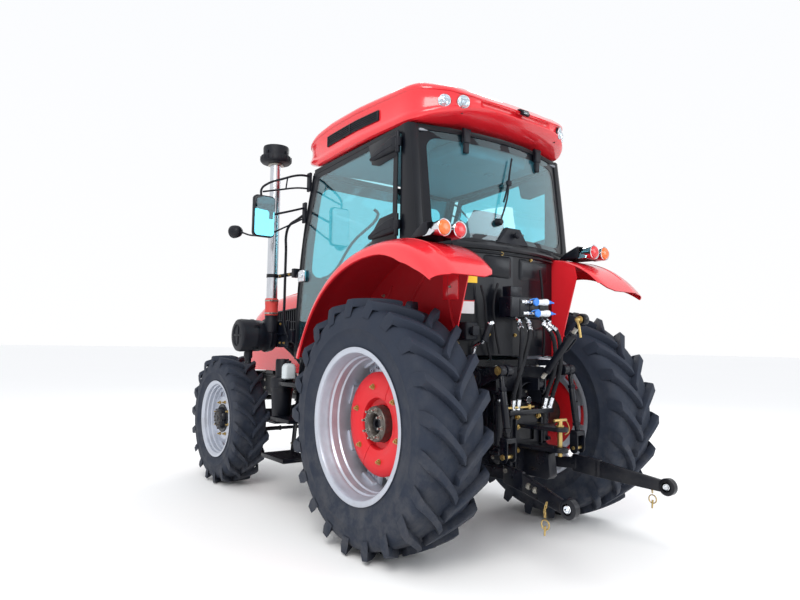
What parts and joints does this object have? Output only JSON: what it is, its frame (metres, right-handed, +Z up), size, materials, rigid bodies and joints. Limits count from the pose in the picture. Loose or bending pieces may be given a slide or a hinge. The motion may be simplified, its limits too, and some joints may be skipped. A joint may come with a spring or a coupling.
{
  "type": "farm tractor",
  "caption": "Farm tractor with a closed cab, wheels that roll and steer, opening doors and hood, and a rear three-point linkage that lifts.",
  "frame": {"origin": "on the ground, under the middle of the tractor's overall box", "axes": "+X forward, +Y to the tractor's left, +Z up"},
  "size_m": [4.42, 2.49, 2.895],
  "materials": {
    "red_paint": "gloss",
    "black_paint": "satin",
    "silver_paint": "satin",
    "tyre_rubber": "matte",
    "tinted_glass": "gloss",
    "black_plastic": "matte",
    "bare_steel": "satin",
    "seat_fabric": "woven",
    "lamp_lens": "gloss"
  },
  "bodies": {
    "chassis": {"transaxle_housing": "black_paint", "engine_block": "black_paint", "front_frame": "black_paint", "front_weights": "black_paint", "front_axle_beam": "black_paint", "drawbar_hitch": "black_paint", "hitch_pin": "bare_steel", "fender_left": "red_paint", "fender_right": "red_paint", "tail_lamp_left": "lamp_lens", "tail_lamp_right": "lamp_lens", "cab_floor": "black_paint", "cab_frame": "black_paint", "rear_window": "tinted_glass", "windshield": "tinted_glass", "roof": "red_paint", "seat_base": "black_plastic", "seat_cushion": "seat_fabric", "seat_back": "seat_fabric", "dashboard": "black_plastic", "cab_steps_left": "black_paint", "cab_steps_right": "black_paint", "fuel_tank": "black_plastic", "battery_box": "black_plastic", "air_cleaner": "black_plastic", "intake_stack": "bare_steel", "exhaust_stack": "bare_steel", "mirror_left": "black_plastic", "mirror_right": "black_plastic", "hydraulic_block": "black_paint"},
    "wheel_rear_left": {"tyre_rear_left": "tyre_rubber", "rim_rear_left": "silver_paint", "wheel_disc_rear_left": "red_paint"},
    "knuckle_left": {"knuckle_left": "black_paint"},
    "wheel_front_left": {"tyre_front_left": "tyre_rubber", "rim_front_left": "silver_paint"},
    "door_left": {"door_left": "tinted_glass", "door_frame_left": "black_paint"},
    "lift_rod_left": {"lift_rod_left": "black_paint"},
    "lower_link_left": {"lower_link_left": "black_paint"},
    "wheel_rear_right": {"tyre_rear_right": "tyre_rubber", "rim_rear_right": "silver_paint", "wheel_disc_rear_right": "red_paint"},
    "knuckle_right": {"knuckle_right": "black_paint"},
    "wheel_front_right": {"tyre_front_right": "tyre_rubber", "rim_front_right": "silver_paint"},
    "door_right": {"door_right": "tinted_glass", "door_frame_right": "black_paint"},
    "lift_rod_right": {"lift_rod_right": "black_paint"},
    "lower_link_right": {"lower_link_right": "black_paint"},
    "tie_rod": {"tie_rod": "black_paint"},
    "hood": {"hood": "red_paint"},
    "lift_arms": {"lift_arms": "black_paint"},
    "top_link": {"top_link": "black_paint"},
    "steering_wheel": {"steering_wheel": "black_plastic"}
  },
  "joints": [
    {"name": "wheel_rear_left_spin", "type": "hinge", "parent": "chassis", "child": "wheel_rear_left", "pos_m": [-1.04, 0.79, 0.75236], "axis": [0, 1, 0], "continuous": true},
    {"name": "wheel_rear_right_spin", "type": "hinge", "parent": "chassis", "child": "wheel_rear_right", "pos_m": [-1.04, -0.79, 0.75236], "axis": [0, 1, 0], "continuous": true},
    {"name": "steer_left", "type": "hinge", "parent": "chassis", "child": "knuckle_left", "pos_m": [1.28, 0.6, 0.55332], "axis": [0, 0, 1], "range_deg": [-38, 38]},
    {"name": "steer_right", "type": "hinge", "parent": "chassis", "child": "knuckle_right", "pos_m": [1.28, -0.6, 0.55332], "axis": [0, 0, 1], "range_deg": [-39, 39]},
    {"name": "wheel_front_left_spin", "type": "hinge", "parent": "knuckle_left", "child": "wheel_front_left", "pos_m": [1.28, 0.8, 0.55332], "axis": [0, 1, 0], "continuous": true},
    {"name": "wheel_front_right_spin", "type": "hinge", "parent": "knuckle_right", "child": "wheel_front_right", "pos_m": [1.28, -0.8, 0.55332], "axis": [0, 1, 0], "continuous": true},
    {"name": "tie_rod_swing", "type": "hinge", "parent": "knuckle_left", "child": "tie_rod", "pos_m": [1.08, 0.6, 0.46], "axis": [0, 0, 1], "range_deg": [-39, 39]},
    {"name": "steering_wheel_turn", "type": "hinge", "parent": "chassis", "child": "steering_wheel", "pos_m": [-0.24, 0, 1.92], "axis": [-0.5, 0, 0.866], "range_deg": [-470, 470]},
    {"name": "door_left_swing", "type": "hinge", "parent": "chassis", "child": "door_left", "pos_m": [-1.09, 0.735, 2.2], "axis": [0, 0, 1], "range_deg": [0, 80]},
    {"name": "door_right_swing", "type": "hinge", "parent": "chassis", "child": "door_right", "pos_m": [-1.09, -0.735, 2.2], "axis": [0, 0, -1], "range_deg": [0, 80]},
    {"name": "hood_lift", "type": "hinge", "parent": "chassis", "child": "hood", "pos_m": [0.295, 0, 1.7], "axis": [0, -1, 0], "range_deg": [0, 50]},
    {"name": "hitch_lift", "type": "hinge", "parent": "chassis", "child": "lift_arms", "pos_m": [-1.31, 0, 1.03], "axis": [0, 1, 0], "range_deg": [-15, 36]},
    {"name": "lift_rod_left_swing", "type": "hinge", "parent": "lift_arms", "child": "lift_rod_left", "pos_m": [-1.57, 0.315, 1.085], "axis": [0, 1, 0], "range_deg": [-37.5, 16]},
    {"name": "lower_link_left_swing", "type": "hinge", "parent": "chassis", "child": "lower_link_left", "pos_m": [-1.26, 0.265, 0.48], "axis": [0, 1, 0], "range_deg": [-11, 25]},
    {"name": "lift_rod_right_swing", "type": "hinge", "parent": "lift_arms", "child": "lift_rod_right", "pos_m": [-1.57, -0.315, 1.085], "axis": [0, 1, 0], "range_deg": [-37.5, 16]},
    {"name": "lower_link_right_swing", "type": "hinge", "parent": "chassis", "child": "lower_link_right", "pos_m": [-1.26, -0.265, 0.48], "axis": [0, 1, 0], "range_deg": [-11, 25]},
    {"name": "top_link_swing", "type": "hinge", "parent": "chassis", "child": "top_link", "pos_m": [-1.54, -0.05, 1], "axis": [0, -1, 0], "range_deg": [-10, 65]}
  ],
  "couplings": [
    {"joint": "steer_right", "follows": "steer_left", "ratio": 1},
    {"joint": "tie_rod_swing", "follows": "steer_left", "ratio": -1},
    {"joint": "steering_wheel_turn", "follows": "steer_left", "ratio": 12},
    {"joint": "lift_rod_left_swing", "follows": "hitch_lift", "ratio": -1.017},
    {"joint": "lower_link_left_swing", "follows": "hitch_lift", "ratio": 0.683},
    {"joint": "lift_rod_right_swing", "follows": "hitch_lift", "ratio": -1.017},
    {"joint": "lower_link_right_swing", "follows": "hitch_lift", "ratio": 0.683}
  ]
}
